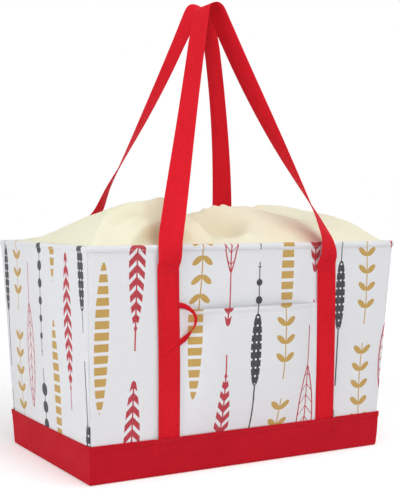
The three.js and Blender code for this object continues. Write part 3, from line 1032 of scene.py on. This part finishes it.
share = np.linspace(0, 1, 41)
s, z = mix(CREASE_FROM[0], CREASE_TO[0], share), mix(CREASE_FROM[1], CREASE_TO[1], share)
ends = np.sin(math.pi * np.clip(share, 0.02, 0.98)) ** 0.4
on_strap = web_middle("front", STRAP_FOOT) + WEBBING / 2
points = wall_flat("front", s, z, on_strap - 0.2 + 0.3 * ends)
run = np.array([CREASE_TO[0] - CREASE_FROM[0], 0, CREASE_TO[1] - CREASE_FROM[1]])
across = np.tile(unit(np.cross(run, (0, -1, 0))), (len(share), 1))
rings, uv = web_section(points, across, CREASE_WIDTH, CREASE_RISE, 0 * share)
middle = points[:, None]
rings = middle + (rings - middle) * ends[:, None, None]
crease = sweep("ribbon_end_crease", rings, WEB_RED, uv)

# Gathered cover: a tube of cloth from the rim to the drawn mouth, puffed up over soft contents

COLUMNS = {"front": 210, "right": 120, "back": 180, "left": 140}
ROWS = 76
MOUTH_LENGTH, MOUTH_DEPTH, MOUTH_RISE, FRILL = 96.0, 72.0, 22.0, 13.0
RUFFLES = 34
RUFFLE_DEPTH = 3.0
# Pleats at the mouth: their depth, and the share of the way in at which they start and end.
PLEAT, PLEAT_START, PLEAT_END = 2.6, 0.62, 0.97

# Lines of points (x, y, height above the rim) that the cloth hangs between.
FOLDS = (
    # Left lobe: its front hip, its shoulder, and its crest with the slopes up to it and down from it.
    ((-216, -145, 3), (-203, -125, 18), (-187, -107, 33), (-172, -92, 44)),
    ((-214, 60, 5), (-193, 12, 22), (-182, -35, 35), (-172, -92, 44)),
    ((-182, -35, 35), (-160, -62, 47), (-131, -84, 55)),
    ((-172, -92, 44), (-155, -88, 50), (-131, -84, 55), (-105, -79, 62), (-90, -75, 63)),
    ((-90, -75, 63), (-74, -76, 53), (-60, -84, 40)),
    # The lip below the left lobe, its end, and the recess under it.
    ((-174, -146, 2), (-158, -136, 10), (-142, -125, 19), (-129, -117, 23), (-114, -111, 26)),
    ((-114, -111, 26), (-94, -112, 25), (-82, -117, 20), (-74, -124, 14)),
    ((-160, -144, 2), (-140, -134, 4), (-122, -125, 6), (-104, -121, 7), (-88, -123, 7), (-78, -133, 5)),
    # Middle lobe: the flap left of it, its upper edge and its right edge.
    ((-57, -90, 37), (-60, -108, 26), (-61, -126, 16), (-59, -143, 6)),
    ((-47, -85, 37), (-22, -66, 48), (8, -56, 52), (35, -72, 49)),
    ((35, -72, 49), (26, -95, 38), (12, -120, 26), (0, -142, 13)),
    # The long fold down to the right, and the hollow behind it.
    ((35, -72, 49), (60, -88, 39), (88, -102, 29), (110, -114, 22), (136, -128, 14)),
    ((64, -64, 46), (92, -79, 38), (118, -92, 31), (142, -108, 22)),
    # Right lobe: its crest, its front hip and its back hip.
    ((102, 0, 53), (150, 5, 52), (180, 5, 46)),
    ((180, 5, 46), (189, -60, 38), (193, -82, 33), (202, -106, 25), (211, -126, 13), (219, -139, 3)),
    ((180, 5, 46), (192, 60, 32), (206, 112, 9)),
    # Back of the cover.
    ((-150, 70, 18), (-92, 78, 32), (0, 76, 31), (96, 72, 42), (150, 72, 40)),
)
# Hollows pressed into the cloth: the middle in plan, the half sizes, the depth and the strength of the
# painted shade in them.
DENTS = (
    ((-18, -101), (46, 45), 20, 0.3),
)
# Sharp folds on the skin: points in plan, rise, how far it reaches left and right of the line, and how strong
# and how far the painted shade reaches on the steeper side.
LIP_LINE = ((-174, -147), (-158, -137), (-142, -126), (-129, -118), (-112, -112), (-92, -113), (-72, -125))
CREASES = (
    (LIP_LINE, 6, 8, 3, 0.6, 24),
    (((-143, -110), (-132, -102), (-118, -92), (-101, -80)), -4, 5, 4, 0.15, 8),
    (((-190, -126), (-168, -118), (-148, -110), (-128, -104)), 4, 7, 11, 0.12, 12),
    (((-217, -146), (-203, -125), (-186, -105), (-168, -85)), 3, 9, 9, 0.0, 1),
    (((-55, -146), (-57, -126), (-55, -108), (-50, -88)), 7, 10, 4, 0.4, 48),
    (((-60, -143), (-33, -141), (-4, -140), (16, -138)), 5, 5, 9, 0.15, 20),
    (((35, -72), (60, -88), (88, -102), (110, -115), (138, -130)), 6, 4, 14, 0.35, 45),
)
EDGE_FADE = 3.0
CELL = 2.5
PUFF = 0.006
SPREADS = 700
SOFTEN = 2
# Painted shade in the hollows below a much softened skin: the softenings, the depths at which it starts and
# is full, and its strength.
HOLLOW_SPREADS = 250
HOLLOW_FROM, HOLLOW_FULL, HOLLOW_SHADE = -2.0, 14.0, 0.3


def sharp_folds(x, y):
    """Rise and painted shade of the sharp folds: each falls away from its line, unlike on its two sides."""
    rises, shades = np.zeros_like(x), np.zeros_like(x)
    for line, rise, left, right, shade, shade_reach in CREASES:
        line = np.array(line, float)
        run = distances(line)
        nearest, reach, ends = np.full(x.shape, np.inf), np.ones_like(x), np.zeros_like(x)
        steep = min(left, right)
        for a, b, start, end in zip(line, line[1:], run, run[1:]):
            along = b - a
            part = ((x - a[0]) * along[0] + (y - a[1]) * along[1]) / (along @ along)
            part = np.clip(part, 0, 1)
            off_x, off_y = x - a[0] - part * along[0], y - a[1] - part * along[1]
            away = np.hypot(off_x, off_y)
            closer = away < nearest
            on_left = along[0] * off_y > along[1] * off_x
            reach = np.where(closer, np.where(on_left, left, right), reach)
            ends = np.where(closer, np.sin(math.pi * mix(start, end, part) / run[-1]), ends)
            nearest = np.where(closer, away, nearest)
        fading = np.sqrt(np.maximum(ends, 0))
        rises += rise * fading * np.exp(-nearest / reach)
        # Painted shade on the steeper side of each fold, fading along and away from its line.
        beyond = np.where(reach == steep, nearest, -nearest)
        shaded = shade * fading * bell(nearest, shade_reach) * smooth(-EDGE_FADE, EDGE_FADE, beyond)
        shades = np.maximum(shades, shaded)
    return rises, shades


def soften(field):
    """Draws each value of a field towards its neighbours, in place."""
    field[1:-1] = (field[:-2] + 2 * field[1:-1] + field[2:]) / 4
    field[:, 1:-1] = (field[:, :-2] + 2 * field[:, 1:-1] + field[:, 2:]) / 4


def puffed_cloth():
    """A skin over the bag, held along the folds, at the rim and at the mouth: its grid, heights and painted
    shade.
    """
    half_x, half_y = TOP_WIDTH / 2 - COVER_INSET, TOP_DEPTH / 2 - COVER_INSET
    xs, ys = (np.linspace(-half, half, int(2 * half / CELL) + 1) for half in (half_x, half_y))
    x, y = np.meshgrid(xs, ys, indexing="ij")
    heights = np.zeros_like(x)
    held = (x / MOUTH_LENGTH) ** 2 + (y / MOUTH_DEPTH) ** 2 < 0.25
    heights[held] = MOUTH_RISE
    for fold in FOLDS:
        fold = np.array(fold, float)
        for a, b in zip(fold, fold[1:]):
            for part in np.linspace(0, 1, 1 + int(np.linalg.norm(b - a) / CELL * 2)):
                at = mix(a, b, part)
                i, j = np.argmin(np.abs(xs - at[0])), np.argmin(np.abs(ys - at[1]))
                heights[i, j] = at[2]
                held[i, j] = True
    push = PUFF * CELL * CELL / 4
    for _ in range(SPREADS):
        around = heights[:-2, 1:-1] + heights[2:, 1:-1] + heights[1:-1, :-2] + heights[1:-1, 2:]
        heights[1:-1, 1:-1] = np.where(held[1:-1, 1:-1], heights[1:-1, 1:-1], around / 4 + push)
    rises, shades = sharp_folds(x, y)
    for (at_x, at_y), (long, wide), depth, shade in DENTS:
        dent = np.maximum(0, 1 - ((x - at_x) / long) ** 2 - ((y - at_y) / wide) ** 2)
        heights -= depth * dent**2
        # Painted shade in the dent.
        shades = np.maximum(shades, shade * dent)
    edge = np.minimum(half_x - np.abs(x), half_y - np.abs(y))
    heights += rises * smooth(0, 12, edge)
    for _ in range(SOFTEN):
        soften(heights)
        heights[[0, -1]] = 0
        heights[:, [0, -1]] = 0
    # Painted shade where the skin lies below its softened level.
    level = heights.copy()
    for _ in range(HOLLOW_SPREADS):
        soften(level)
    hollows = smooth(HOLLOW_FROM, HOLLOW_FULL, level - heights)
    return xs, ys, heights, np.maximum(shades, HOLLOW_SHADE * hollows)


*SKIN_GRID, SKIN, SHADES = puffed_cloth()


def over_skin(heights, x, y):
    """A value over the skin, such as its height above the rim, at a place in plan."""
    xs, ys = SKIN_GRID
    i = np.clip((x - xs[0]) / (xs[1] - xs[0]), 0, len(xs) - 1.001)
    j = np.clip((y - ys[0]) / (ys[1] - ys[0]), 0, len(ys) - 1.001)
    low_i, low_j = i.astype(int), j.astype(int)
    part_i, part_j = i - low_i, j - low_j
    near = mix(heights[low_i, low_j], heights[low_i + 1, low_j], part_i)
    far = mix(heights[low_i, low_j + 1], heights[low_i + 1, low_j + 1], part_i)
    return mix(near, far, part_j)


rim = []
for side, count in COLUMNS.items():
    z = np.full(count, COVER_LEVEL)
    s = along_share(side, np.arange(count) / count, z)
    rim.append(wall(side, s, z, -COVER_INSET))
rim = np.concatenate(rim)
total = len(rim)
step = np.linalg.norm(np.roll(rim, -1, axis=0) - rim, axis=1).mean()
angle = np.arctan2(rim[:, 1] / TOP_DEPTH, rim[:, 0] / TOP_WIDTH)
draw = np.random.default_rng(5)
sway = draw.uniform(-0.5, 0.5, RUFFLES * 2)
phase = np.arange(total) / total * RUFFLES * 2 * math.pi
phase = phase + np.interp(np.arange(total), np.linspace(0, total, RUFFLES * 2), sway)
ruffle = np.sin(phase)
ring = np.column_stack([
    np.cos(angle) * (MOUTH_LENGTH / 2 + RUFFLE_DEPTH * ruffle),
    np.sin(angle) * (MOUTH_DEPTH / 2 + RUFFLE_DEPTH * ruffle),
    np.full(total, COVER_LEVEL + MOUTH_RISE),
])
share = np.linspace(0, 1, ROWS)[None, :]
x, y = np.moveaxis(mix(rim[:, None, :2], ring[:, None, :2], share[..., None]), -1, 0)
pleats = PLEAT * ruffle[:, None] * smooth(PLEAT_START, PLEAT_END, share) * (1 - smooth(PLEAT_END, 1, share))
height = mix(over_skin(SKIN, x, y) + pleats, MOUTH_RISE, smooth(0.95, 1.0, share))
waves = 0.7 * ripple(x, y, 3, 45) * smooth(0, 0.12, share) * (1 - smooth(0.7, 1, share))
cloth = np.stack([x, y, COVER_LEVEL + height + waves], axis=-1)
cloth[:, 0] = rim
cloth[:, -1] = ring

# The frill stands up from the mouth, fuller towards its edge.
outward = np.column_stack([np.cos(angle), np.sin(angle), 0 * angle])
frill = []
for k in range(1, 6):
    lift = k / 5
    spread = outward * ((2.2 * ruffle + 1.0) * lift)[:, None]
    frill.append(ring + spread + np.array([0, 0, FRILL * lift]) * (1 + 0.12 * ruffle[:, None]))
cloth = np.concatenate([cloth, np.stack(frill, axis=1)], axis=1)
# Painted shade for each point of the cover, none on the frill.
painted_shade = np.pad(over_skin(SHADES, x, y), ((0, 0), (0, len(frill))))
rows = cloth.shape[1]
COVER_CLOTH = 0.5

round_rim = np.roll(cloth, -1, 0) - np.roll(cloth, 1, 0)
inner_face = cloth - unit(np.cross(round_rim, np.gradient(cloth, axis=1))) * COVER_CLOTH
deep = np.linalg.norm(np.diff(cloth, axis=1), axis=2).mean(axis=0).sum()
start = 0
for side, count in COLUMNS.items():
    chosen = np.arange(start, start + count + 1) % total
    start += count
    faces = {1.0: cloth[chosen], 0.0: inner_face[chosen]}
    cover = slab(
        f"{side}_cover_cloth",
        lambda u, v, w: faces[w],
        count + 1,
        rows,
        COVER,
        lambda u, v: (u * count * step, v * deep),
        body=f"{side}_cover",
        sharp=60,
    )
    # The painted shade goes on each point of the mesh as an attribute.
    shaded = cover.data.attributes.new("painted_shade", "FLOAT", "POINT")
    shaded.data.foreach_set("value", np.tile(painted_shade[chosen].ravel(), 2).astype(np.float32))
    stand_for(cover, "cover_cloth", f"{side}_cover")
    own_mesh(cover)

# Floor, light and camera

WHITE_LIGHT = (1.0, 1.0, 1.0, 1.0)
# The studio is lighter round about than overhead.
SKY_LOW, SKY_HIGH = 0.64, 0.1
# Lamps: name, place, target, size and power.
LAMPS = (
    ("key", (0.1, -1.4, 2.5), (0, 0, 0.2), 2.6, 48.0),
    ("fill", (-2.0, -0.5, 0.2), (0, 0, 0.1), 0.8, 14.0),
    ("top", (0.1, 0.5, 2.2), (0, 0, 0.2), 1.8, 2.0),
)
CAMERA_PLACE = (-0.70795, -1.24832, 0.33157)
AZIMUTH, ELEVATION = math.radians(-29.881), math.radians(1.952)


def add_floor():
    """A wide pale floor that glows more away from the bag."""
    mesh = bpy.data.meshes.new("floor")
    mesh.from_pydata([(-6, -6, 0), (6, -6, 0), (6, 6, 0), (-6, 6, 0)], [], [(0, 1, 2, 3)])
    floor = add_object("floor", mesh)
    floor.location.z = -0.0004
    pale = Shade("pale_floor", 0.9, specular=0.0)
    grain = pale.ramp(pale.noise(3.0), 0.3, 0.7, 0.0, 1.0)
    pale.colour(pale.blend(grain, (0.9, 0.9, 0.9, 1), (0.92, 0.92, 0.92, 1)))
    away = pale.add("ShaderNodeVectorMath", pale.place())
    away.operation = "LENGTH"
    glow = pale.ramp(away.outputs["Value"], 0.5, 2.4, 0.36, 0.8)
    pale.put(pale.surface["Emission Color"], WHITE_LIGHT)
    pale.put(pale.surface["Emission Strength"], pale.math("MULTIPLY", pale.shown(), glow))
    mesh.materials.append(pale.material)


def light_studio():
    """A sky that lights the bag evenly and shows as plain white."""
    world = bpy.data.worlds.new("studio")
    bpy.context.scene.world = world
    world.use_nodes = True
    sky = Nodes(world.node_tree)
    light = sky.tree.nodes["Background"]
    split = sky.add("ShaderNodeSeparateXYZ", sky.add("ShaderNodeTexCoord").outputs["Generated"])
    sky.put(light.inputs["Color"], WHITE_LIGHT)
    sky.put(light.inputs["Strength"], sky.ramp(split.outputs[2], 0.0, 1.0, SKY_LOW, SKY_HIGH))
    white = sky.add("ShaderNodeBackground", WHITE_LIGHT, 1.0)
    choose = sky.add("ShaderNodeMixShader", sky.shown(), light.outputs[0], white.outputs[0])
    sky.put(sky.tree.nodes["World Output"].inputs["Surface"], choose.outputs[0])


def add_lamp(name, place, target, size, power):
    data = bpy.data.lights.new(name, "AREA")
    data.size = size
    data.energy = power
    lamp = add_object(name, data)
    lamp.location = place
    lamp.rotation_euler = (Vector(target) - Vector(place)).to_track_quat("-Z", "Y").to_euler()


def add_camera():
    data = bpy.data.cameras.new("camera")
    data.sensor_width = 36.0
    data.lens = 74.385
    camera = add_object("camera", data)
    back = Vector((
        math.sin(AZIMUTH) * math.cos(ELEVATION),
        -math.cos(AZIMUTH) * math.cos(ELEVATION),
        math.sin(ELEVATION),
    ))
    camera.location = CAMERA_PLACE
    camera.rotation_mode = "QUATERNION"
    camera.rotation_quaternion = (-back).to_track_quat("-Z", "Y")
    bpy.context.scene.camera = camera


add_floor()
light_studio()
for lamp in LAMPS:
    add_lamp(*lamp)
add_camera()
bpy.context.scene.view_settings.view_transform = "Standard"
